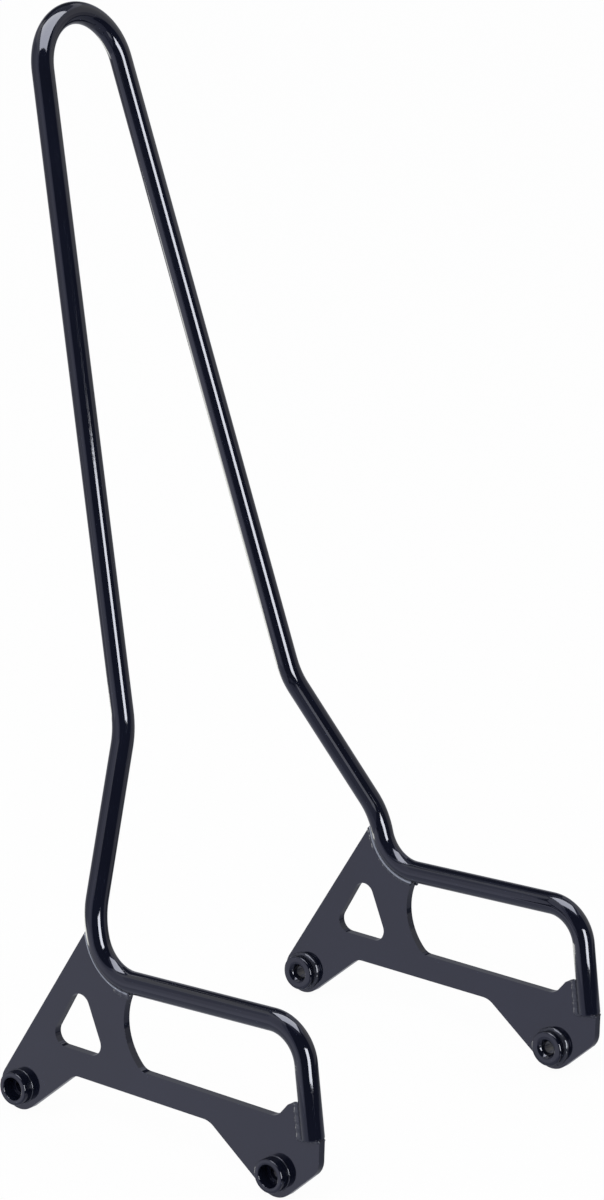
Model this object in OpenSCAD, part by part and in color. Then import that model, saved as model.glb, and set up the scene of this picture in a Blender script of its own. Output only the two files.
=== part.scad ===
// Sissy bar for a motorcycle: one bent round bar, two flat side plates and four turned
// bushings, welded together. X runs forward along the motorcycle, Y to its left, Z up.
// The origin is midway between the four bolt axes, on the plane of symmetry.

/* [Bar] */
// Diameter of the solid round bar
bar_d = 12.7; // [10:0.1:16]
// Distance between the axes of the bar's two sides, at the plates
side_gap = 254; // [220:1:300]
// Bend radius of the rear folds, under the uprights, to the bar's axis
fold_r = 25.4; // [20:0.2:30]
// Bend radius of the front folds, above the stubs, to the bar's axis
nose_r = 22.6; // [18:0.2:26]
// Bend radius of the two sideways bends in each upright, to the bar's axis
sway_r = 45; // [30:1:60]
// Bend radius of the hoop at the top, to the bar's axis
hoop_r = 33; // [28:0.5:42]

/* [Bar route, side view] */
// Forward position of the front fold's corner
front_x = 106.65; // [103:0.05:111]
// Height of the front fold's corner above the bolt axes
front_z = 86.7; // [83.3:0.1:93]
// Length of the front stub, from the fold's corner to its cut end
stub_len = 62; // [58:0.5:64]
// Forward lean of the front stub, in degrees
stub_lean = 8.6; // [6:0.1:10]
// Length of the level run, from corner to corner
run_len = 138.9; // [134:0.1:146]
// Rise of the run towards the front, in degrees
run_rise = 2.6; // [0:0.1:4]
// Rearward lean of the uprights, in degrees
lean = 16.25; // [10:0.05:22]

/* [Bar route, along the uprights] */
// Straight left between the rear fold and the first sideways bend
leg_flat = 0.4; // [0.3:0.1:10]
// Inward slant of each upright between its two sideways bends, in degrees
slant = 29.54; // [20:0.01:36]
// Distance between the two uprights' axes at the second sideways bend
waist_gap = 146.6; // [130:1:165]
// From the rear fold's corner to the bar's axis at the top of the hoop
crown_u = 522.4; // [400:0.1:620]

/* [Side plates] */
// Thickness of the side plates
plate_t = 4.76; // [4:0.02:6]
// Radius of the round lobe about each bushing
lobe_r = 13.6; // [13:0.1:16]
// Lower edge of the slim arm
arm_low = 17.3; // [15.3:0.1:19.3]
// Upper edge of the slim arm
arm_top = 32.5; // [30.3:0.1:35]
// How far the plates reach ahead of the front bolt axes
toe = 29.45; // [28.85:0.05:34]
// Top of the lug that is welded to the stub
lug_z = 42.3; // [40.3:0.1:46]

/* [Bushings] */
// Distance between the front and rear bolt axes
bolt_span = 185; // [178:0.5:190]
// Length of each bushing
bush_len = 17.5; // [15:0.1:24]
// Bolt hole through each bushing
bolt_hole_d = 8.7; // [6.6:0.1:10.2]
// Pocket for the bolt's head in the outer end
head_hole_d = 13.1; // [11:0.1:14]
// Depth of that pocket
head_hole_t = 7.5; // [4:0.1:9]
// Barrel, which passes through the plate
bush_d = 19.3; // [18:0.1:20]
// Flange at the inner end
foot_d = 20.8; // [20:0.1:22]

/* [Hidden] */
$fn = 96;
bar_r = bar_d / 2;
half_gap = side_gap / 2;
half_waist = waist_gap / 2;
// The straights are this much slimmer than the bends, and run this far into them
seat = 0.02;
run_in = 0.4;
coat = [0.07, 0.07, 0.09];

// Unit vector at an angle in the side view, as [x, z]
function ray(a) = [cos(a), sin(a)];
function unit(v) = v / norm(v);
// A side-view point set at distance y from the plane of symmetry
function at_y(p, y) = [p[0], y, p[1]];
// Tangent length of a bend of radius r that turns through an angle
function bite(r, turn) = r * tan(turn / 2);

// Corners of the bar's axis in the side plane
up = ray(90 + lean);
fold_turn = 90 - lean + run_rise;
leg_len = bite(fold_r, fold_turn) + leg_flat + bite(sway_r, slant);
waist_u = leg_len + (half_gap - half_waist) / tan(slant);
front_corner = [front_x, front_z];
stub_end = front_corner + stub_len * ray(stub_lean - 90);
rear_corner = front_corner - run_len * ray(run_rise);
leg_corner = rear_corner + leg_len * up;
waist_corner = rear_corner + waist_u * up;

// The uprights close in on each other by this angle, so that they touch the hoop's circle
hoop_rise = crown_u - waist_u - hoop_r;
close_in = acos(hoop_r / norm([half_waist, hoop_rise])) - atan2(hoop_rise, half_waist);
apex = rear_corner + (waist_u + half_waist / tan(close_in)) * up;

// The bar's corners from one stub's end over the hoop to the other stub's end
side_points = [at_y(stub_end, half_gap), at_y(front_corner, half_gap),
               at_y(rear_corner, half_gap), at_y(leg_corner, half_gap),
               at_y(waist_corner, half_waist)];
bar_points = concat(
    [for (p = side_points) [p[0], -p[1], p[2]]],
    [at_y(apex, 0)],
    [for (i = [4:-1:0]) side_points[i]]);
bar_radii = [0, nose_r, fold_r, sway_r, sway_r, hoop_r, sway_r, sway_r, fold_r, nose_r, 0];

// Straight round bar between two points
module rod(a, b) {
    v = b - a;
    translate(a)
        rotate([0, acos(v[2] / norm(v)), atan2(v[1], v[0])])
            cylinder(h = norm(v), r = bar_r - seat);
}

// Bent round bar that rounds the corner q between a and b
module bend(a, q, b, r) {
    u = unit(a - q);
    v = unit(b - q);
    half = acos(u * v) / 2;
    x = -unit(u + v);
    z = unit(cross(v, u));
    y = cross(z, x);
    c = q - x * r / sin(half);
    turn = 180 - 2 * half;
    multmatrix([[x[0], y[0], z[0], c[0]], [x[1], y[1], z[1], c[1]], [x[2], y[2], z[2], c[2]]])
        rotate([0, 0, -turn / 2])
            rotate_extrude(angle = turn)
                translate([r, 0]) circle(r = bar_r);
}

// Bends along a route of corners, with the straights between them, which run into the bends
module route(points, radii) {
    last = len(points) - 1;
    way = [for (i = [0:last - 1]) unit(points[i + 1] - points[i])];
    cut = [for (i = [0:last]) i == 0 || i == last ? 0
        : bite(radii[i], acos(way[i - 1] * way[i])) - run_in];
    for (i = [1:last - 1]) bend(points[i - 1], points[i], points[i + 1], radii[i]);
    for (i = [0:last - 1]) rod(points[i] + cut[i] * way[i], points[i + 1] - cut[i + 1] * way[i]);
}

module bar() {
    color(coat) route(bar_points, bar_radii);
}

// Corner arcs are this much wider than the circles that just touch their edges, so that
// they cross them
blend = 0.01;

// Outline with rounded corners, from points given as [x, z, radius], counter-clockwise
module rounded(points) {
    n = len(points);
    pt = [for (p = points) [p[0], p[1]]];
    u = [for (i = [0:n - 1]) unit(pt[(i + n - 1) % n] - pt[i])];
    v = [for (i = [0:n - 1]) unit(pt[(i + 1) % n] - pt[i])];
    half = [for (i = [0:n - 1]) acos(u[i] * v[i]) / 2];
    bulge = [for (i = [0:n - 1]) cross(v[i], u[i]) > 0];
    centre = [for (i = [0:n - 1]) pt[i] + unit(u[i] + v[i]) * points[i][2] / sin(half[i])];
    tangent = [for (i = [0:n - 1]) points[i][2] / tan(half[i])];
    difference() {
        polygon([for (i = [0:n - 1]) for (end = [u[i], v[i]]) if (end == u[i] || points[i][2] > 0)
            pt[i] + end * tangent[i]]);
        for (i = [0:n - 1]) if (!bulge[i] && points[i][2] > 0)
            translate(centre[i]) circle(r = points[i][2] + blend);
    }
    for (i = [0:n - 1]) if (bulge[i] && points[i][2] > 0)
        translate(centre[i]) circle(r = points[i][2] + blend);
}

// A straight line in the side view is [outward normal's angle, distance from the origin]
function line_at(a, p) = [a, ray(a) * p];
function lobe_line(a, bolt) = [a, ray(a) * bolt + lobe_r];
function cross_point(l, m) =
    [l[1] * sin(m[0]) - m[1] * sin(l[0]), m[1] * cos(l[0]) - l[1] * cos(m[0])] / sin(m[0] - l[0]);
function corner(l, m, r) = [cross_point(l, m)[0], cross_point(l, m)[1], r];

rear_bolt = [-bolt_span / 2, 0];
front_bolt = [bolt_span / 2, 0];

// The bar's near edges, which the plates are cut to: its axis moved by half its thickness
stub_end_line = line_at(stub_lean + 90, stub_end);
stub_rear_line = line_at(stub_lean, stub_end + bar_r * ray(stub_lean + 180));
run_under_line = line_at(run_rise + 90, rear_corner + bar_r * ray(run_rise - 90));
upright_rear_line = line_at(lean, rear_corner + bar_r * ray(lean + 180));

// The plates' own straight edges
rear_edge = lobe_line(148.7, rear_bolt);
rear_under = lobe_line(-49, rear_bolt);
front_under = lobe_line(-126, front_bolt);
front_slope = lobe_line(-47, front_bolt);
front_edge = line_at(0, front_bolt + [toe, 0]);
arm_under = line_at(-90, [0, arm_low]);
arm_over = line_at(90, [0, arm_top]);
lug_over = line_at(90, [0, lug_z]);

// Radii where those edges meet
arm_rear_r = 9;
arm_front_r = 12;
toe_r = 12;
step_r = 0.8;

module plate_outline() {
    rounded([
        corner(rear_edge, rear_under, lobe_r),
        corner(rear_under, arm_under, arm_rear_r),
        corner(arm_under, front_under, arm_front_r),
        corner(front_under, front_slope, lobe_r),
        corner(front_slope, front_edge, toe_r),
        corner(front_edge, stub_end_line, step_r),
        corner(stub_end_line, stub_rear_line, 0),
        corner(stub_rear_line, run_under_line, 0),
        corner(run_under_line, upright_rear_line, fold_r + bar_r),
        corner(upright_rear_line, rear_edge, 0)]);
}

// Rounded triangular hole under the rear fold: two corners on the arm's upper edge, measured
// from the rear bolt axis, and one below the fold's corner
triangle_rear_x = 21.15;
triangle_front_x = 63.35;
triangle_top = [-15.8, -5.4];
triangle_r = 7;

module triangle_hole() {
    top_point = rear_corner + triangle_top;
    rounded([
        [rear_bolt[0] + triangle_rear_x, arm_top, triangle_r],
        [rear_bolt[0] + triangle_front_x, arm_top, triangle_r],
        [top_point[0], top_point[1], triangle_r]]);
}

// Window between the arm and the bar: a bowed rear edge that runs into a round lower corner
bow_r = 35;
bow_c = rear_corner + [50.7, -20.4];
heel_r = 8.5;
// The round corner touches the bow from within, where the bow's radius through it ends
heel_drop = bow_c[1] - arm_top - heel_r;
heel_run = sqrt(pow(bow_r - heel_r, 2) - pow(heel_drop, 2));
heel_c = [bow_c[0] - heel_run, arm_top + heel_r];
bow_end = bow_c - [heel_run, heel_drop] * bow_r / (bow_r - heel_r);
// Length of the lug's top behind the stub, the foot of its slope, and their radii
lug_len = 6.5;
lug_foot = 8;
lug_foot_r = 9;
lug_top_r = 3.5;

module window() {
    top_line = line_at(90, front_corner);
    back_line = line_at(180, heel_c);
    front_line = line_at(0, stub_end);
    lug_top = cross_point(lug_over, stub_rear_line) - [lug_len, 0];
    intersection() {
        translate(bow_c) circle(r = bow_r);
        translate([bow_c[0] - bow_r - 1, bow_end[1]]) square([bow_r, bow_r * 2]);
    }
    translate(heel_c) circle(r = heel_r + blend);
    rounded([
        corner(back_line, arm_over, 0),
        [lug_top[0] - lug_foot, arm_top, lug_foot_r],
        [lug_top[0], lug_top[1], lug_top_r],
        corner(lug_over, front_line, 0),
        corner(front_line, top_line, 0),
        corner(top_line, back_line, 0)]);
}

// Small round relief in the corner where the plate steps around the stub's end
relief_r = 1.6;

module notch_relief() {
    translate(cross_point(stub_end_line, stub_rear_line)) circle(r = relief_r);
}

// Side plate, cut to the bar's edges; side is -1 on the right
module plate(side) {
    color(coat)
        translate([0, side * half_gap, 0])
            rotate([90, 0, 0])
                linear_extrude(height = plate_t, center = true)
                    difference() {
                        plate_outline();
                        triangle_hole();
                        window();
                        notch_relief();
                        for (c = [rear_bolt, front_bolt]) translate(c) circle(d = bush_d);
                    }
}

module right_plate() { plate(-1); }

module left_plate() { plate(1); }

// Turned bushing along Z, with its outer end at the top and its middle at the origin
top = bush_len / 2;
edge = 0.6;
mouth_d = 12.2;
foot_t = 2.6;

module bushing_shape() {
    difference() {
        rotate_extrude()
            polygon([
                [0, -top], [foot_d / 2 - edge, -top], [foot_d / 2, -top + edge],
                [foot_d / 2, -top + foot_t], [bush_d / 2, -top + foot_t],
                [bush_d / 2, top - edge], [bush_d / 2 - edge, top], [0, top]]);
        translate([0, 0, -bush_len]) cylinder(h = 2 * bush_len, d = bolt_hole_d);
        translate([0, 0, top - head_hole_t]) cylinder(h = bush_len, d = head_hole_d);
        translate([0, 0, -top]) cylinder(h = (mouth_d - bolt_hole_d) / 2, d1 = mouth_d, d2 = bolt_hole_d);
    }
}

// A bushing in its plate; side is -1 on the right, at is its bolt axis in the side view
module bushing(side, at) {
    color(coat)
        translate([at[0], side * half_gap, at[1]])
            rotate([-90 * side, 0, 0])
                bushing_shape();
}

module right_rear_bushing() { bushing(-1, rear_bolt); }

module right_front_bushing() { bushing(-1, front_bolt); }

module left_rear_bushing() { bushing(1, rear_bolt); }

module left_front_bushing() { bushing(1, front_bolt); }

bar();
right_plate();
left_plate();
right_rear_bushing();
right_front_bushing();
left_rear_bushing();
left_front_bushing();
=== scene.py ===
# %% [markdown]
# # A sissy bar in gloss black powder coat
# The object is a tall, narrow hoop bent from one round bar. Its two legs fold forward and
# end in short stubs. A flat plate is welded into each fold, and each plate carries two turned
# bushings for the bolts that hold it to a motorcycle.
#
# The imported solids are the fixed frame of this scene. Everything that is made here sits in
# the same metres and stands for one of those solids. The box of the solids is kept now and
# printed.

# %% Load the frame
import math

import bpy
from mathutils import Matrix, Vector


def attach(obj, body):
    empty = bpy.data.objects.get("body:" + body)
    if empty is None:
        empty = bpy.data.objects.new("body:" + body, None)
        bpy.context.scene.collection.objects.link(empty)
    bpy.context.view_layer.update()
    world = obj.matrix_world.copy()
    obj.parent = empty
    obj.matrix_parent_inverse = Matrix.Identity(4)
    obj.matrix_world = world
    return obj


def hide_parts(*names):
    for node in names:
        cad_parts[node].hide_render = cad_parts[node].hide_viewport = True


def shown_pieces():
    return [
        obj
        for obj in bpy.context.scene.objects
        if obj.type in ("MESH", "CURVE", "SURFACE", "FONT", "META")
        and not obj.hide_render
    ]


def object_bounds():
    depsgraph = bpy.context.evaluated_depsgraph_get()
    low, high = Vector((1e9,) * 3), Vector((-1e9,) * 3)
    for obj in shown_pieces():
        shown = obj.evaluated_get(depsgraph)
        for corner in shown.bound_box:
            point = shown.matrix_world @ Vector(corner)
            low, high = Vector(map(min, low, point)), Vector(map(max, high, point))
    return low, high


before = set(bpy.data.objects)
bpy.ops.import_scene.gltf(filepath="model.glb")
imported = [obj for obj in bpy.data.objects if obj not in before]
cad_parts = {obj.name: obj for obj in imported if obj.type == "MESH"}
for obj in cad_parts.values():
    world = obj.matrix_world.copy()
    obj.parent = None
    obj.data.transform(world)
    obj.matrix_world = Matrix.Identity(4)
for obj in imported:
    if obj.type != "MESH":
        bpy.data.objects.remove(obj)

cad_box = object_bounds()
print("CAD box", [[round(v, 4) for v in corner] for corner in cad_box])

# %% [markdown]
# ## The camera first
# The photograph looks down a little from the front right of the motorcycle. The place, turn
# and focal length below were fitted to the edges of the bar, so the render can be laid over
# the photograph. The frame is 604 x 1200, taller than wide, so the lens is given for the
# sensor's height.

# %% Camera
camera_turn = math.radians(38.47)
camera_rise = math.radians(15.49)
camera_roll = math.radians(1.547)
camera_target = Vector((-0.00255, 0, 0.27485))
camera_distance = 2.458

backward = Vector((math.sin(camera_turn) * math.cos(camera_rise),
                   -math.cos(camera_turn) * math.cos(camera_rise), math.sin(camera_rise)))
level_right = Vector((math.cos(camera_turn), math.sin(camera_turn), 0))
level_up = backward.cross(level_right)
right = level_right * math.cos(camera_roll) + level_up * math.sin(camera_roll)
up = level_up * math.cos(camera_roll) - level_right * math.sin(camera_roll)

camera = bpy.data.objects.new("camera", bpy.data.cameras.new("camera"))
bpy.context.scene.collection.objects.link(camera)
camera.matrix_world = (Matrix.Translation(camera_target + backward * camera_distance)
                       @ Matrix((right, up, backward)).transposed().to_4x4())
camera.data.sensor_fit = "VERTICAL"
camera.data.sensor_height = 24
camera.data.lens = 88.64
bpy.context.scene.camera = camera
print("camera at", [round(v, 3) for v in camera.matrix_world.translation])

# %% [markdown]
# ## Small helpers for modelling by hand
# Blender's operators act on whatever is selected, and loading the frame leaves its solids
# selected. So each piece starts with nothing selected. When it is done, its place goes into
# its mesh, its faces are turned outwards, and it is tied to the one rigid body of the object.

# %% Helpers for pieces
def start_piece():
    if bpy.context.object and bpy.context.object.mode == "EDIT":
        bpy.ops.object.mode_set(mode="OBJECT")
    bpy.ops.object.select_all(action="DESELECT")


def place_into_mesh(piece):
    bpy.ops.object.select_all(action="DESELECT")
    piece.select_set(True)
    bpy.context.view_layer.objects.active = piece
    bpy.ops.object.transform_apply(location=True, rotation=True, scale=True)


def close_and_turn_outwards():
    bpy.ops.mesh.select_all(action="SELECT")
    bpy.ops.mesh.remove_doubles(threshold=0.000004)
    bpy.ops.mesh.normals_make_consistent(inside=False)


def round_edges(piece, width, segments, angle=30):
    bevel = piece.modifiers.new("rounded edges", "BEVEL")
    bevel.width = width
    bevel.segments = segments
    bevel.limit_method = "ANGLE"
    bevel.angle_limit = math.radians(angle)
    bpy.ops.object.modifier_apply(modifier=bevel.name)


def finish_piece(piece, name, *stands_for):
    piece.name = piece.data.name = name
    place_into_mesh(piece)
    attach(piece, "root")
    if stands_for:
        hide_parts(*stands_for)
    piece.data.calc_loop_triangles()
    print(name, len(piece.data.loop_triangles), "triangles")

# %% [markdown]
# ## The sizes of the bent bar
# The bar is 12.7 mm round. In the side view its axis has a corner at the front fold and one at
# the rear fold. Seen along the uprights it steps inwards in two bends and closes over the top
# in a hoop. All of it follows from a few sizes in millimetres, which are the same as those of
# the solids.

# %% Route of the bar's axis
MM = 0.001
bar_radius = 6.35 * MM
half_gap = 127 * MM
half_waist = 73.3 * MM
hoop_radius = 33 * MM
fold_radius = 25.4 * MM
nose_radius = 22.6 * MM
sway_radius = 45 * MM


def side_ray(degrees):
    angle = math.radians(degrees)
    return Vector((math.cos(angle), 0, math.sin(angle)))


stub_lean, run_rise, upright_lean, slant = 8.6, 2.6, 16.25, 29.54
stub_length_mm = 62
run_length_mm = 138.9
leg_flat = 0.4 * MM
crown_length = 522.4 * MM
upright = side_ray(90 + upright_lean)
front_corner = Vector((106.65, 0, 86.7)) * MM
stub_end = front_corner + side_ray(stub_lean - 90) * stub_length_mm * MM
rear_corner = front_corner - side_ray(run_rise) * run_length_mm * MM
leg_length = (fold_radius * math.tan(math.radians((90 - upright_lean + run_rise) / 2)) + leg_flat
              + sway_radius * math.tan(math.radians(slant / 2)))
waist_length = leg_length + (half_gap - half_waist) / math.tan(math.radians(slant))
hoop_rise = crown_length - waist_length - hoop_radius
close_in = (math.acos(hoop_radius / math.hypot(half_waist, hoop_rise))
            - math.atan2(hoop_rise, half_waist))
across = Vector((0, 1, 0))


def bar_corners(side):
    """Corners of the axis on one side of the bar, from the stub's cut end upwards."""
    outward = across * side
    return [stub_end + outward * half_gap, front_corner + outward * half_gap,
            rear_corner + outward * half_gap,
            rear_corner + upright * leg_length + outward * half_gap,
            rear_corner + upright * waist_length + outward * half_waist]


hoop_apex = rear_corner + upright * (waist_length + half_waist / math.tan(close_in))
corners = bar_corners(-1) + [hoop_apex] + bar_corners(1)[::-1]
side_radii = [nose_radius, fold_radius, sway_radius, sway_radius]
bend_radii = side_radii + [hoop_radius] + side_radii[::-1]
print("waist", round(waist_length / MM, 1), "mm up, uprights close in by",
      round(math.degrees(close_in), 2), "degrees")

# %% [markdown]
# ## Bending the bar
# The real bar starts straight and is pulled round a former nine times. The model does the same:
# a circle is drawn at the cut end of one stub, pushed out along each straight, and spun round
# the centre of each bend. It could also be a curve with a round bevel, but spinning keeps the
# rings evenly spaced and square to the bar, so gloss runs along it without a ripple.

# %% The bar
ring_points = 72
bend_step = math.radians(3.2)

start_piece()
first_way = (corners[1] - corners[0]).normalized()
bpy.ops.mesh.primitive_circle_add(
    vertices=ring_points, radius=bar_radius, fill_type="NGON", enter_editmode=True,
    location=corners[0], rotation=first_way.to_track_quat("Z", "Y").to_euler())
bar = bpy.context.object
here = corners[0].copy()
for index, radius in enumerate(bend_radii, start=1):
    arriving = (corners[index] - corners[index - 1]).normalized()
    leaving = (corners[index + 1] - corners[index]).normalized()
    turn = arriving.angle(leaving)
    bite = radius * math.tan(turn / 2)
    bend_start = corners[index] - arriving * bite
    bpy.ops.mesh.extrude_region_move(TRANSFORM_OT_translate={"value": bend_start - here})
    axis = arriving.cross(leaving).normalized()
    bpy.ops.mesh.spin(steps=max(4, round(turn / bend_step)), angle=-turn,
                      center=bend_start + axis.cross(arriving) * radius, axis=axis)
    here = corners[index] + leaving * bite
bpy.ops.mesh.extrude_region_move(TRANSFORM_OT_translate={"value": corners[-1] - here})
close_and_turn_outwards()
bpy.ops.object.mode_set(mode="OBJECT")
round_edges(bar, 1.0 * MM, 4, angle=60)
bpy.ops.object.shade_smooth_by_angle(angle=math.radians(35))
finish_piece(bar, "bent_round_bar", "bar")
print("bar ends", [round(v / MM, 2) for v in here], "mm")

# %% [markdown]
# ## Side plates
# Each plate is cut flat from 4.76 mm sheet. Its outline is already right in the solids, so a
# copy of each solid is taken, its loose triangles are merged and its flat faces joined up
# again. Cut edges are broken by hand before coating and the coat rounds them further. A small
# bevel gives that soft edge, which catches the light as a thin line. The last modifier weights
# the shading by face size, so the large faces stay flat mirrors up to the bevel.

# %% Plates
def plate_with_soft_edges(node_name, name):
    start_piece()
    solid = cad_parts[node_name]
    plate = solid.copy()
    plate.data = solid.data.copy()
    plate.parent = None
    plate.matrix_world = solid.matrix_world.copy()
    bpy.context.scene.collection.objects.link(plate)
    plate.hide_render = False
    plate.select_set(True)
    bpy.context.view_layer.objects.active = plate
    bpy.ops.object.mode_set(mode="EDIT")
    bpy.ops.mesh.select_all(action="SELECT")
    bpy.ops.mesh.remove_doubles(threshold=0.00002)
    bpy.ops.mesh.tris_convert_to_quads()
    bpy.ops.mesh.dissolve_limited(angle_limit=math.radians(0.5))
    bpy.ops.object.mode_set(mode="OBJECT")
    round_edges(plate, 0.45 * MM, 3)
    bpy.ops.object.shade_smooth_by_angle(angle=math.radians(35))
    flat = plate.modifiers.new("faces stay flat", "WEIGHTED_NORMAL")
    flat.mode = "FACE_AREA"
    flat.weight = 100
    flat.keep_sharp = True
    bpy.ops.object.modifier_apply(modifier=flat.name)
    finish_piece(plate, name, node_name)
    return plate


right_side_plate = plate_with_soft_edges("right_plate", "right_side_plate")
left_side_plate = plate_with_soft_edges("left_plate", "left_side_plate")

# %% [markdown]
# ## Bushings
# A bushing is turned from steel bar on a lathe: a plain barrel that passes through the plate, a
# pocket for the bolt's head in the outer end, and a thin flange and a wide mouth at the inner
# end. It stands only 6 mm proud of each face; the dark half that seems to follow it is its mirror
# image in the plate. On a lathe the tool draws a profile and the work spins, so the model draws
# the half profile with one vertex and spins it round the axis. All four are the same, so one is
# made and the others are copies of it. The outer edge is a little sharper than on the solid,
# 0.4 mm instead of 0.6 mm, which gives the thin line of light of the photograph.

# %% One bushing
plate_half = 2.38 * MM
bolt_span = 185 * MM
profile_mm = [
    (4.35, -7.0), (6.1, -8.75), (9.8, -8.75), (10.4, -8.15), (10.4, -6.15), (9.65, -6.15),
    (9.65, 8.3), (9.25, 8.75), (6.85, 8.75), (6.55, 8.45), (6.55, 1.25), (4.35, 1.25)]
fitted_at = Vector((-bolt_span / 2, -half_gap, 0))

start_piece()
profile = [fitted_at + Vector((radius, -height, 0)) * MM for radius, height in profile_mm]
bpy.ops.mesh.primitive_plane_add(size=0.2 * MM, enter_editmode=True, location=profile[0])
first_bushing = bpy.context.object
bpy.ops.mesh.merge(type="CENTER")
for before, after in zip(profile, profile[1:] + profile[:1]):
    bpy.ops.mesh.extrude_vertices_move(TRANSFORM_OT_translate={"value": after - before})
bpy.ops.mesh.select_all(action="SELECT")
bpy.ops.mesh.remove_doubles(threshold=0.000004)
bpy.ops.mesh.spin(steps=96, angle=2 * math.pi, center=fitted_at, axis=(0, 1, 0))
close_and_turn_outwards()
bpy.ops.object.mode_set(mode="OBJECT")
round_edges(first_bushing, 0.22 * MM, 2)
bpy.ops.object.shade_smooth_by_angle(angle=math.radians(35))
place_into_mesh(first_bushing)

# %% Its three copies
def copy_to(piece, turn=0, shift=(0, 0, 0)):
    """A copy with its own mesh, turned about the object's upright middle line, then shifted."""
    start_piece()
    piece.select_set(True)
    bpy.context.view_layer.objects.active = piece
    bpy.ops.object.duplicate(linked=False)
    copy = bpy.context.object
    copy.matrix_world = (Matrix.Translation(Vector(shift))
                         @ Matrix.Rotation(math.radians(turn), 4, "Z"))
    place_into_mesh(copy)
    return copy


def at_all_four_bolts(first):
    """The piece at the right rear bolt and its copies at the other three, by place."""
    return {"right_rear": first,
            "right_front": copy_to(first, shift=(bolt_span, 0, 0)),
            "left_front": copy_to(first, turn=180),
            "left_rear": copy_to(first, turn=180, shift=(-bolt_span, 0, 0))}


for place, piece in at_all_four_bolts(first_bushing).items():
    finish_piece(piece, place + "_turned_bushing", place + "_bushing")

# %% [markdown]
# ## Weld beads
# A weld is a row of overlapping puddles, each frozen just behind the next. The solids leave
# them out. Each puddle is a low round ball of metal that lies on the joint. They are set close
# together and swell and shrink slowly along the joint, as a hand moves. A fine remesh and a
# smoothing then let them flow into one low strip with a wavy edge, which the thick powder coat
# leaves smooth.

# %% Helper for a bead
puddle_step = 0.55 * MM


def weld_bead(name, path, stands, width, height, waviness=0.14, phase=0.0):
    """A bead along points in metres that lie puddle_step apart; stands is its upward way."""
    start_piece()
    bead = None
    for index, point in enumerate(path):
        near = path[max(index - 1, 0)], path[min(index + 1, len(path) - 1)]
        travel = (near[1] - near[0]).normalized()
        upwards = (stands - travel * stands.dot(travel)).normalized()
        turned = Matrix((travel, upwards.cross(travel), upwards)).transposed().to_quaternion()
        swell = (1 + waviness * math.sin(index * 0.72 + phase)
                 + 0.5 * waviness * math.sin(index * 1.9 + 2 * phase + 1))
        bpy.ops.mesh.primitive_uv_sphere_add(
            segments=16, ring_count=8, radius=width / 2 * swell, enter_editmode=bead is None,
            location=point, rotation=turned.to_euler())
        bead = bpy.context.object
        bpy.ops.transform.resize(
            value=(0.8, 1, 2 * height / width), orient_type="GLOBAL", center_override=point,
            orient_matrix=turned.to_matrix(), orient_matrix_type="GLOBAL")
    bpy.ops.object.mode_set(mode="OBJECT")
    skin = bead.modifiers.new("one skin", "REMESH")
    skin.mode = "VOXEL"
    skin.voxel_size = 0.22 * MM
    bpy.ops.object.modifier_apply(modifier=skin.name)
    flow = bead.modifiers.new("flow", "SMOOTH")
    flow.factor = 0.6
    flow.iterations = 12
    bpy.ops.object.modifier_apply(modifier=flow.name)
    bpy.ops.object.shade_smooth()
    finish_piece(bead, name)

# %% [markdown]
# Each bushing is welded on the plate's inner face, behind its flange, where the ring of metal
# catches uneven glints. On the outer face it fits closely, and the coat only runs into a fine
# rounded line. Both rings start as a torus, half sunk in the plate and the barrel. The weld
# gets a displacement with a cloud pattern a few millimetres wide. The pair is made once and
# copied with the same turns as the bushings.

# %% Ring welds
start_piece()
bpy.ops.mesh.primitive_torus_add(
    major_radius=9.9 * MM, minor_radius=1.75 * MM, major_segments=160, minor_segments=24,
    location=fitted_at + across * plate_half, rotation=(math.pi / 2, 0, 0))
first_ring = bpy.context.object
place_into_mesh(first_ring)
puddles = bpy.data.textures.new("slow puddles", "CLOUDS")
puddles.noise_scale = 3.4 * MM
ripple = first_ring.modifiers.new("ripple", "DISPLACE")
ripple.texture = puddles
ripple.texture_coords = "LOCAL"
ripple.strength = 0.8 * MM
bpy.ops.object.modifier_apply(modifier=ripple.name)
bpy.ops.object.mode_set(mode="EDIT")
bpy.ops.mesh.select_all(action="DESELECT")
bpy.ops.mesh.primitive_torus_add(
    major_radius=9.7 * MM, minor_radius=0.42 * MM, major_segments=160, minor_segments=12,
    location=fitted_at - across * (plate_half + 0.05 * MM), rotation=(math.pi / 2, 0, 0))
bpy.ops.object.mode_set(mode="OBJECT")
bpy.ops.object.shade_smooth()
for place, piece in at_all_four_bolts(first_ring).items():
    finish_piece(piece, place + "_ring_weld")

# %% [markdown]
# The plate meets the bar along the outside of the rear fold. The inner face carries two low
# beads there, and the outer face only one small tack near the window. At the stub a bead runs
# down the joint with the lug on both faces and ends under the stub's cut end.

# %% Joint paths
fold_turn = math.radians(90 - upright_lean + run_rise)
fold_bite = fold_radius * math.tan(fold_turn / 2)
fold_centre = (rear_corner + (side_ray(run_rise) + upright).normalized()
               * fold_radius / math.cos(fold_turn / 2))
joint_radius = fold_radius + bar_radius
half_arc = joint_radius * fold_turn / 2


def joint_point(along, outward):
    """A point on the edge where plate and bar meet, in the bar's middle plane. along runs from
    the middle of the fold, towards the front when positive; outward moves it onto the plate."""
    if abs(along) <= half_arc:
        angle = math.radians(run_rise - 90) - fold_turn / 2 + along / joint_radius
        return fold_centre + side_ray(math.degrees(angle)) * (joint_radius + outward)
    if along > 0:
        return (rear_corner + side_ray(run_rise) * (fold_bite + along - half_arc)
                + side_ray(run_rise - 90) * (bar_radius + outward))
    return (rear_corner + upright * (fold_bite - along - half_arc)
            + side_ray(180 + upright_lean) * (bar_radius + outward))


def evenly(start, end):
    count = max(2, round(abs(end - start) / puddle_step))
    return [start + (end - start) * index / count for index in range(count + 1)]


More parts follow.
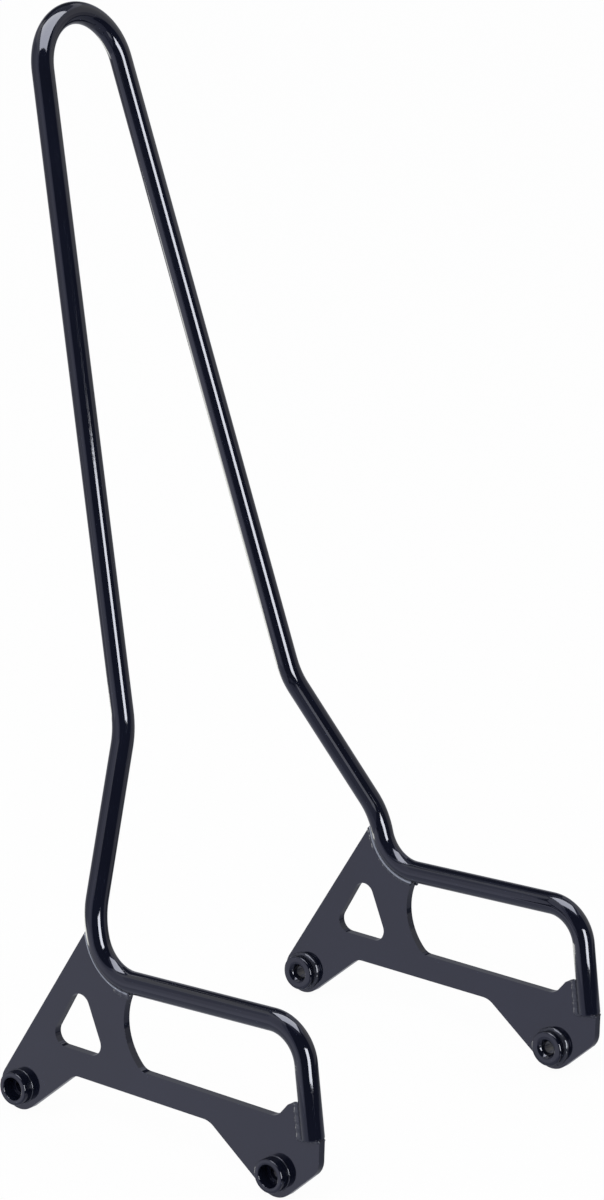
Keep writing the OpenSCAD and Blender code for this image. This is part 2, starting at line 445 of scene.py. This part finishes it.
def fold_path(start, end, side, level, outward):
    return [joint_point(along, outward) + across * side * (half_gap + level)
            for along in evenly(start, end)]


def stub_path(top, bottom, side, level, outward):
    return [front_corner + side_ray(stub_lean - 90) * along
            + side_ray(180 + stub_lean) * (bar_radius + outward)
            + across * side * (half_gap + level) for along in evenly(top, bottom)]


def stub_end_path(side, level):
    return [stub_end + side_ray(stub_lean) * along + side_ray(stub_lean - 90) * 0.5 * MM
            + across * side * (half_gap + level) for along in evenly(-6.6 * MM, 5.6 * MM)]

# %% Joint welds
face_level = 2.4 * MM  # a hair above the plate's face, so a bead lies on it
contact_end = 19.4 * MM  # where the plate's edge leaves the bar at the window

for side, word in ((-1, "right"), (1, "left")):
    outside = across * side
    weld_bead(word + "_fold_weld_upper",
              fold_path(-24.5 * MM, -13.5 * MM, side, -face_level, 0.6 * MM),
              -outside, 4.0 * MM, 0.8 * MM, phase=0.4)
    weld_bead(word + "_fold_weld_lower",
              fold_path(-6 * MM, 18 * MM, side, -face_level, 0.6 * MM),
              -outside, 3.4 * MM, 0.8 * MM, phase=1.7)
    weld_bead(word + "_window_tack",
              fold_path(11 * MM, contact_end, side, face_level, 0.9 * MM),
              outside, 4.2 * MM, 0.75 * MM, phase=2.2)
    for face, level in (("outside", face_level), ("inside", -face_level)):
        stands = outside if face == "outside" else -outside
        weld_bead(word + "_stub_weld_" + face,
                  stub_path(43 * MM, 61.5 * MM, side, level, 0.9 * MM),
                  stands, 4.2 * MM, 0.85 * MM, phase=3.1)
        weld_bead(word + "_stub_end_weld_" + face, stub_end_path(side, level),
                  stands, 2.0 * MM, 0.7 * MM, waviness=0.22)

# %% [markdown]
# Along the whole joint the coat bridges the fine gap between the round bar and the flat plate.
# That fillet is a slim round thread, and its colour is a painted highlight: the thin pale line
# of a lamp caught in it. A circle is drawn at its upper end, pushed out along the upright and
# spun round the fold, just like the bar itself. On the inner face it lies a little higher, over
# the feet of the beads.

# %% Coat fillets at the folds, coloured as a painted highlight
line_radius = 0.8 * MM


def coat_line(name, side, level):
    start_piece()
    inset = -0.1 * MM
    shift = across * side * (half_gap + level)
    top_end = joint_point(-26.4 * MM, inset) + shift
    bpy.ops.mesh.primitive_circle_add(
        vertices=14, radius=line_radius, fill_type="NGON", enter_editmode=True,
        location=top_end, rotation=(-upright).to_track_quat("Z", "Y").to_euler())
    line = bpy.context.object
    bend_from = joint_point(-half_arc, inset) + shift
    bpy.ops.mesh.extrude_region_move(TRANSFORM_OT_translate={"value": bend_from - top_end})
    reach = (half_arc + contact_end) / joint_radius
    bpy.ops.mesh.spin(steps=40, angle=reach, center=fold_centre + shift, axis=across)
    close_and_turn_outwards()
    bpy.ops.object.mode_set(mode="OBJECT")
    bpy.ops.object.shade_smooth_by_angle(angle=math.radians(50))
    finish_piece(line, name)
    print(name, "measures", [round(v / MM, 1) for v in line.dimensions], "mm")


for side, word in ((-1, "right"), (1, "left")):
    coat_line(word + "_coat_line_outside", side, 2.42 * MM)
    coat_line(word + "_coat_line_inside", side, -2.75 * MM)

# %% [markdown]
# ## Helpers for materials
# Colours are written as they would be picked on a screen, and one function turns them into the
# linear values that the renderer works with. One more small function adds a node, sets what is
# on it and connects what goes into it.

# %% Colour and node helpers
def colour(hex_value):
    channels = []
    for shift in (16, 8, 0):
        value = ((hex_value >> shift) & 255) / 255
        channels.append(value / 12.92 if value <= 0.04045 else ((value + 0.055) / 1.055) ** 2.4)
    return (*channels, 1)


def node(tree, kind, settings=None, links=None):
    made = tree.nodes.new(kind)
    for name, value in (settings or {}).items():
        if isinstance(name, int) or name in made.inputs:
            made.inputs[name].default_value = value
        else:
            setattr(made, name, value)
    for name, source in (links or {}).items():
        tree.links.new(source, made.inputs[name])
    return made


def new_material(name):
    material = bpy.data.materials.new(name)
    material.use_nodes = True
    material.node_tree.nodes.clear()
    return material, material.node_tree


def per_metre(millimetres):
    """Noise scale whose lumps are about this wide."""
    return 1000 / millimetres

# %% [markdown]
# ## Gloss black powder coat
# Powder is sprayed on dry, clings by charge, and melts in an oven into a glossy skin. It never
# levels out quite flat, so lamps reflect with a slightly wavy edge, called orange peel, with
# lumps about 2 to 4 mm across. The skin is a dielectric over near-black pigment: nearly all
# that the eye sees of it is what it mirrors. Its mirror has a slight blue cast and a little more
# strength than plain resin, because the gloss looks so in the photograph.

# %% Powder coat
def powder_coat(name, peel_depth, ripple_depth, roughness, dark=0x0B0D16, pale=0x121522):
    material, tree = new_material(name)
    place = node(tree, "ShaderNodeTexCoord").outputs["Object"]
    peel = node(tree, "ShaderNodeTexNoise", {"Scale": per_metre(3.2), "Detail": 2.0,
                                             "Roughness": 0.45}, {"Vector": place})
    nibs = node(tree, "ShaderNodeTexNoise", {"Scale": per_metre(0.9), "Detail": 3.0},
                {"Vector": place})
    drift = node(tree, "ShaderNodeTexNoise", {"Scale": per_metre(38), "Detail": 2.0},
                 {"Vector": place})
    peel_bump = node(tree, "ShaderNodeBump", {"Strength": 1.0, "Distance": peel_depth},
                     {"Height": peel.outputs["Fac"]})
    nib_bump = node(tree, "ShaderNodeBump", {"Strength": 1.0, "Distance": ripple_depth},
                    {"Height": nibs.outputs["Fac"], "Normal": peel_bump.outputs["Normal"]})
    tone = node(tree, "ShaderNodeMix", {"data_type": "RGBA"})
    tone.inputs[6].default_value = colour(dark)
    tone.inputs[7].default_value = colour(pale)
    tree.links.new(drift.outputs["Fac"], tone.inputs[0])
    gloss = node(tree, "ShaderNodeMapRange",
                 {"To Min": roughness * 0.8, "To Max": roughness * 1.25},
                 {"Value": drift.outputs["Fac"]})
    surface = node(tree, "ShaderNodeBsdfPrincipled",
                   {"IOR": 1.5, "Metallic": 0.0, "Specular IOR Level": 0.62,
                    "Specular Tint": colour(0xDCDFFF)},
                   {"Base Color": tone.outputs[2], "Roughness": gloss.outputs["Result"],
                    "Normal": nib_bump.outputs["Normal"]})
    node(tree, "ShaderNodeOutputMaterial", links={"Surface": surface.outputs["BSDF"]})
    return material


coat = powder_coat("gloss_black_powder_coat", 0.012 * MM, 0.0012 * MM, 0.07)
# The photograph shows the beads paler than the plates, mostly by many small glints. These plain
# beads catch too few, so their coat is rougher and its pigment is painted paler than the real
# black, as a painted highlight for the missing glints.
weld_coat_painted_highlight = powder_coat("gloss_black_powder_coat_over_weld", 0.03 * MM, 0.006 * MM, 0.12,
                           0x2A2C34, 0x33353C)
# The creases show as a thin pale line, most likely a lamp caught in the fillet. The slim thread
# doesn't catch it here, so it is painted paler. This is an imitation, not the real pigment.
crease_painted_highlight = powder_coat("thin_powder_coat_in_crease", 0.02 * MM, 0.004 * MM, 0.25,
                             0x858A96, 0x989DAA)
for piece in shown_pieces():
    piece.data.materials.clear()
    kind = piece.name.split("_", 1)[-1]
    piece.data.materials.append(crease_painted_highlight if "coat_line" in kind else
                                weld_coat_painted_highlight if "weld" in kind or "tack" in kind else coat)
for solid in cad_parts.values():
    for place in solid.material_slots:
        place.material = coat

# %% [markdown]
# ## Studio
# The object stands on a wide pale floor in a white studio. Gloss black shows the room as a dim
# mirror, so the room matters more than the light: a dark room beside the camera gives the black
# parts, pale walls on the left the soft grey of the plates and of each tube's left side, one
# tall strip lamp the thin bright line along the tubes, and a broad soft box overhead the pale
# patches on every surface that looks up.

# %% Floor and world
bpy.context.scene.view_settings.view_transform = "Standard"


def seen_directly_or_in_gloss(tree):
    """1 for rays from the camera, from gloss and through glass, 0 for soft light."""
    rays = node(tree, "ShaderNodeLightPath")
    highest = rays.outputs["Is Camera Ray"]
    for kind in ("Is Glossy Ray", "Is Transmission Ray"):
        highest = node(tree, "ShaderNodeMath", {"operation": "MAXIMUM"},
                       {0: highest, 1: rays.outputs[kind]}).outputs[0]
    return highest


world = bpy.data.worlds.new("white_studio")
bpy.context.scene.world = world
world.use_nodes = True
tree = world.node_tree
tree.nodes.clear()
room = node(tree, "ShaderNodeBackground", {"Color": colour(0xF4F5F7), "Strength": 0.75})
white = node(tree, "ShaderNodeBackground", {"Color": (1, 1, 1, 1), "Strength": 1.0})
mixed = node(tree, "ShaderNodeMixShader", links={
    0: seen_directly_or_in_gloss(tree), 1: room.outputs[0], 2: white.outputs[0]})
node(tree, "ShaderNodeOutputWorld", links={"Surface": mixed.outputs[0]})

floor_level = cad_box[0][2]
start_piece()
bpy.ops.mesh.primitive_plane_add(size=24, location=(0, 0, floor_level - 0.0002))
floor = bpy.context.object
floor.name = "studio_floor"
place_into_mesh(floor)
material, tree = new_material("matt_white_painted_floor")
place = node(tree, "ShaderNodeTexCoord").outputs["Object"]
grain = node(tree, "ShaderNodeTexNoise", {"Scale": per_metre(6), "Detail": 3.0}, {"Vector": place})
tone = node(tree, "ShaderNodeMix", {"data_type": "RGBA"}, {0: grain.outputs["Fac"]})
tone.inputs[6].default_value = colour(0xF2F2F3)
tone.inputs[7].default_value = colour(0xF6F6F6)
paint = node(tree, "ShaderNodeBsdfPrincipled", {"Roughness": 0.9, "IOR": 1.3},
             {"Base Color": tone.outputs[2]})
glow = node(tree, "ShaderNodeEmission", {"Color": (1, 1, 1, 1), "Strength": 1.0})
# The small rest of the paint's own light keeps the object's shadow on the floor.
share = node(tree, "ShaderNodeMath", {"operation": "MULTIPLY", 1: 0.965},
             {0: seen_directly_or_in_gloss(tree)})
mixed = node(tree, "ShaderNodeMixShader", links={
    0: share.outputs[0], 1: paint.outputs[0], 2: glow.outputs[0]})
node(tree, "ShaderNodeOutputMaterial", links={"Surface": mixed.outputs[0]})
floor.data.materials.append(material)

# %% [markdown]
# The walls are sheets of paper curved round the set, each drawn as an upright edge and spun
# about the object's middle. Each covers a span of the compass and a span of height, both in
# degrees as seen from the object, and has the brightness that the gloss shows there. They are
# seen in reflections only, not by the camera or the floor. Their spans and tones were set by
# comparing the gloss in the render with the gloss in the photograph, direction by direction.
# The photograph's gloss shows no white floor below, so the floor is hidden from gloss here and
# the lower sheets are seen instead. Under other light the coat mirrors whatever is there.

# %% Helper for a sheet of paper or lamp cloth
def compass(azimuth, distance, height):
    """A point seen from the middle of the object; azimuth 0 is straight to its right side."""
    angle = math.radians(azimuth)
    return Vector((math.sin(angle) * distance, -math.cos(angle) * distance, height))


def only_in_reflections(board, tone, level):
    """Gives a board its glow and keeps it out of the direct picture."""
    material, tree = new_material(board.name + "_paper")
    glow = node(tree, "ShaderNodeEmission", {"Color": colour(tone), "Strength": level})
    node(tree, "ShaderNodeOutputMaterial", links={"Surface": glow.outputs[0]})
    material.cycles.emission_sampling = "NONE"
    board.data.materials.append(material)
    board.visible_camera = False
    board.visible_diffuse = False
    board.visible_shadow = False


def curved_sheet(name, azimuths, profile, tone, level=1.0):
    """profile lists (distance, height) from the sheet's lower edge to its upper edge."""
    start_piece()
    points = [compass(azimuths[0], distance, height) for distance, height in profile]
    bpy.ops.mesh.primitive_plane_add(size=0.01, enter_editmode=True, location=points[0])
    board = bpy.context.object
    bpy.ops.mesh.merge(type="CENTER")
    for before, after in zip(points, points[1:]):
        bpy.ops.mesh.extrude_vertices_move(TRANSFORM_OT_translate={"value": after - before})
    bpy.ops.mesh.select_all(action="SELECT")
    sweep = math.radians(azimuths[1] - azimuths[0])
    bpy.ops.mesh.spin(steps=max(2, round(sweep / 0.1)), angle=-sweep, center=(0, 0, 0),
                      axis=(0, 0, 1))
    bpy.ops.object.mode_set(mode="OBJECT")
    board.name = name
    place_into_mesh(board)
    only_in_reflections(board, tone, level)
    return board

# %% Walls of paper
wall_distance = 4.2
wall_middle = 0.3
floor.visible_glossy = False
# name: from and to on the compass, from and to in height, colour, brightness
walls = {
    "dark_room": (-3, 125, -30, 52, 0x393A44, 1.0),
    "ceiling": (0, 360, 50, 89, 0x94969C, 1.0),
    "right_rear_wall_high": (125, 182, 8, 42, 0xD8D6CC, 1.0),
    "right_rear_wall_low": (125, 182, -12, 8, 0xB0AFAC, 1.0),
    "right_rear_skirting": (125, 182, -18, -12, 0x56585E, 1.0),
    "rear_wall": (182, 202, -20, 40, 0xADAFB6, 1.0),
    "rear_dark_corner": (202, 262, 25, 60, 0x404148, 1.0),
    "rear_wall_low": (202, 243, -45, 25, 0xB0B2B8, 1.0),
    "left_high_band": (262, 300, 36, 50, 0xFFFEEC, 1.0),
    "left_wall_far": (243, 300, -19, 30, 0xA8A8AE, 1.0),
    "left_wall_middle": (300, 320, -6, 38, 0xD0D1D2, 1.0),
    "left_wall_near": (320, 346, -6, 38, 0xF2F2F0, 1.0),
    "left_wall_edge": (346, 357, -28, 38, 0xC8CAD0, 1.0),
    "left_near_band": (300, 357, 38, 54, 0xFFFFF4, 1.1),
    "plate_wall": (300, 346, -28, -6, 0xFFFFFF, 1.04),
    "left_table_edge": (243, 286, -28, -19, 0xFFFFF2, 4.0),
    "left_table_glow": (286, 300, -28, -19, 0xFAFAFC, 1.0),
    "left_floor": (243, 357, -45, -28, 0xCCCED4, 1.0),
    "front_floor": (-3, 125, -45, -30, 0x9A9CA4, 1.0),
    "rear_floor": (125, 202, -45, -18, 0x9EA0A6, 1.0),
    "lower_floor": (-3, 238, -89, -45, 0xA8AAB0, 1.0),
    "left_lower_floor": (238, 357, -70, -45, 0xC4C7D0, 1.0),
    "under_floor": (238, 357, -89, -70, 0x90929C, 1.0)}
for name, (west, east, low, high, tone, level) in walls.items():
    steps = max(1, round((high - low) / 12))
    angles = [math.radians(low + (high - low) * step / steps) for step in range(steps + 1)]
    curved_sheet(name, (west, east), [(wall_distance * math.cos(angle),
                                       wall_middle + wall_distance * math.sin(angle))
                                      for angle in angles],
                 tone, level)
print(len(walls), "sheets of paper")

# %% Lamp cloths
curved_sheet("strip_lamp_cloth", (58.5, 82.5), [(3.2, -0.47), (3.2, 1.55)], 0xFFFFE9, 19.0)
curved_sheet("strip_lamp_on_table", (56, 78), [(3.2, -2.9), (3.2, -1.35)], 0xFFFFF0, 1.9)
start_piece()
bpy.ops.mesh.primitive_grid_add(x_subdivisions=2, y_subdivisions=2, size=1,
                                location=(0.1, -0.11, 1.35))
overhead_cloth = bpy.context.object
overhead_cloth.name = "overhead_lamp_cloth"
bpy.ops.transform.resize(value=(1.36, 0.9, 1))
overhead_cloth.rotation_euler.z = math.radians(38.5)
place_into_mesh(overhead_cloth)
only_in_reflections(overhead_cloth, 0xFFFFF0, 8.6)
print("overhead cloth", [round(v, 2) for v in overhead_cloth.dimensions])

# %% [markdown]
# One broad soft lamp from the strip's side gives the object and the floor their plain light.

# %% Lamp
lamp = bpy.data.lights.new("soft_lamp", "AREA")
lamp.shape = "RECTANGLE"
lamp.size = 1.4
lamp.size_y = 1.4
lamp.energy = 40
lamp_object = bpy.data.objects.new("soft_lamp", lamp)
bpy.context.scene.collection.objects.link(lamp_object)
lamp_place = compass(20, 2.6, 2.6)
facing = (Vector((0, 0, 0.25)) - lamp_place).normalized()
lamp_object.matrix_world = (Matrix.Translation(lamp_place)
                            @ (-facing).to_track_quat("Z", "Y").to_matrix().to_4x4())
lamp_object.visible_camera = False
lamp_object.visible_glossy = False
